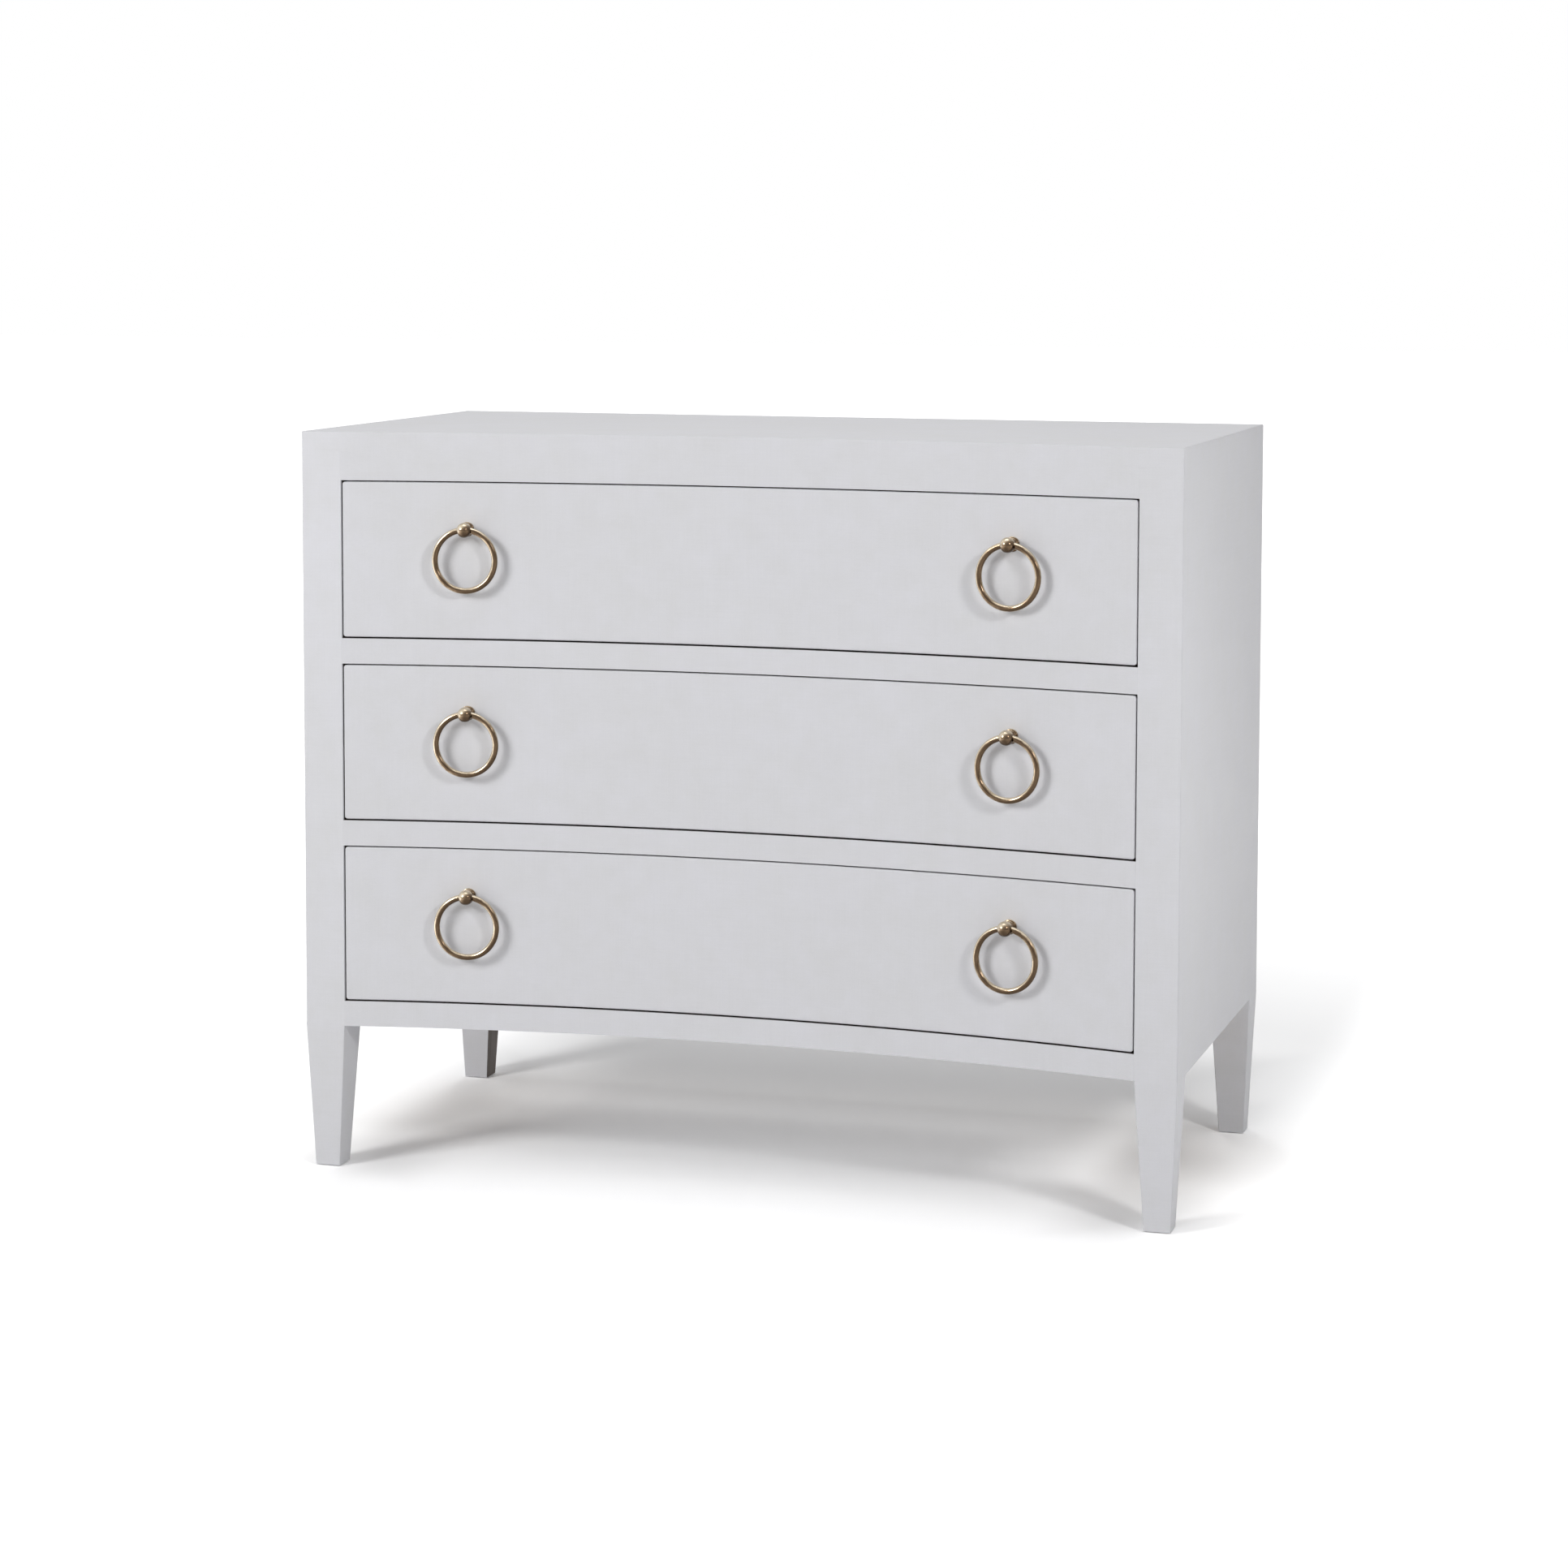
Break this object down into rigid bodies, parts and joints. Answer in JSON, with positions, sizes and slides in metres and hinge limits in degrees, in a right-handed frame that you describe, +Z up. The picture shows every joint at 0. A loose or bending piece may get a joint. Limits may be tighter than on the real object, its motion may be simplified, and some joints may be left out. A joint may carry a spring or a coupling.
{
  "type": "dresser",
  "caption": "Chest of wide drawers with a concave bowed front, straight square posts on tapered legs, flush drawer fronts and hanging brass ring pulls.",
  "frame": {"origin": "on the floor, under the middle of the whole dresser with its pulls, in width and in depth", "axes": "+X to the right as seen from the front, +Y from the drawer fronts towards the back, +Z up"},
  "size_m": [1.016, 0.508, 0.85],
  "materials": {
    "lacquer": "pale grey-white satin lacquer over a fine linen texture",
    "painted_back": "matt pale grey paint on thin board",
    "drawer_wood": "bare birch with a thin clear seal",
    "runner_wood": "bare waxed hardwood",
    "aged_brass": "polished, lightly aged brass",
    "glide_plastic": "dark moulded nylon"
  },
  "bodies": {
    "case": {"top_panel": "lacquer", "back_panel": "painted_back", "dust_panel": "painted_back", "front_bottom_rail": "lacquer", "lower_divider_rail": "lacquer", "upper_divider_rail": "lacquer", "front_top_rail": "lacquer", "rear_bottom_rail": "runner_wood", "rear_top_rail": "runner_wood", "left_side_panel": "lacquer", "left_kicker": "runner_wood", "front_left_post": "lacquer", "rear_left_post": "lacquer", "front_left_glide": "glide_plastic", "rear_left_glide": "glide_plastic", "bottom_left_runner": "runner_wood", "middle_left_runner": "runner_wood", "top_left_runner": "runner_wood", "right_side_panel": "lacquer", "right_kicker": "runner_wood", "front_right_post": "lacquer", "rear_right_post": "lacquer", "front_right_glide": "glide_plastic", "rear_right_glide": "glide_plastic", "bottom_right_runner": "runner_wood", "middle_right_runner": "runner_wood", "top_right_runner": "runner_wood"},
    "bottom_drawer": {"bottom_drawer_front": "lacquer", "bottom_drawer_left_side": "drawer_wood", "bottom_drawer_right_side": "drawer_wood", "bottom_drawer_back": "drawer_wood", "bottom_drawer_bottom": "drawer_wood", "bottom_left_pull_mount": "aged_brass", "bottom_right_pull_mount": "aged_brass"},
    "middle_drawer": {"middle_drawer_front": "lacquer", "middle_drawer_left_side": "drawer_wood", "middle_drawer_right_side": "drawer_wood", "middle_drawer_back": "drawer_wood", "middle_drawer_bottom": "drawer_wood", "middle_left_pull_mount": "aged_brass", "middle_right_pull_mount": "aged_brass"},
    "top_drawer": {"top_drawer_front": "lacquer", "top_drawer_left_side": "drawer_wood", "top_drawer_right_side": "drawer_wood", "top_drawer_back": "drawer_wood", "top_drawer_bottom": "drawer_wood", "top_left_pull_mount": "aged_brass", "top_right_pull_mount": "aged_brass"},
    "bottom_left_ring": {"bottom_left_pull_ring": "aged_brass"},
    "bottom_right_ring": {"bottom_right_pull_ring": "aged_brass"},
    "middle_left_ring": {"middle_left_pull_ring": "aged_brass"},
    "middle_right_ring": {"middle_right_pull_ring": "aged_brass"},
    "top_left_ring": {"top_left_pull_ring": "aged_brass"},
    "top_right_ring": {"top_right_pull_ring": "aged_brass"}
  },
  "joints": [
    {"name": "bottom_drawer_slide", "type": "slide", "parent": "case", "child": "bottom_drawer", "axis": [0, -1, 0], "range_m": [0, 0.32]},
    {"name": "middle_drawer_slide", "type": "slide", "parent": "case", "child": "middle_drawer", "axis": [0, -1, 0], "range_m": [0, 0.32]},
    {"name": "top_drawer_slide", "type": "slide", "parent": "case", "child": "top_drawer", "axis": [0, -1, 0], "range_m": [0, 0.32]},
    {"name": "bottom_left_ring_swing", "type": "hinge", "parent": "bottom_drawer", "child": "bottom_left_ring", "pos_m": [-0.31452, -0.24094, 0.32217], "axis": [-0.9899, -0.142, 0], "range_deg": [-6.5, 180]},
    {"name": "bottom_right_ring_swing", "type": "hinge", "parent": "bottom_drawer", "child": "bottom_right_ring", "pos_m": [0.31452, -0.24094, 0.32217], "axis": [-0.9899, 0.142, 0], "range_deg": [-6.5, 180]},
    {"name": "middle_left_ring_swing", "type": "hinge", "parent": "middle_drawer", "child": "middle_left_ring", "pos_m": [-0.31452, -0.24094, 0.5315], "axis": [-0.9899, -0.142, 0], "range_deg": [-6.5, 180]},
    {"name": "middle_right_ring_swing", "type": "hinge", "parent": "middle_drawer", "child": "middle_right_ring", "pos_m": [0.31452, -0.24094, 0.5315], "axis": [-0.9899, 0.142, 0], "range_deg": [-6.5, 180]},
    {"name": "top_left_ring_swing", "type": "hinge", "parent": "top_drawer", "child": "top_left_ring", "pos_m": [-0.31452, -0.24094, 0.74083], "axis": [-0.9899, -0.142, 0], "range_deg": [-6.5, 180]},
    {"name": "top_right_ring_swing", "type": "hinge", "parent": "top_drawer", "child": "top_right_ring", "pos_m": [0.31452, -0.24094, 0.74083], "axis": [-0.9899, 0.142, 0], "range_deg": [-6.5, 180]}
  ]
}
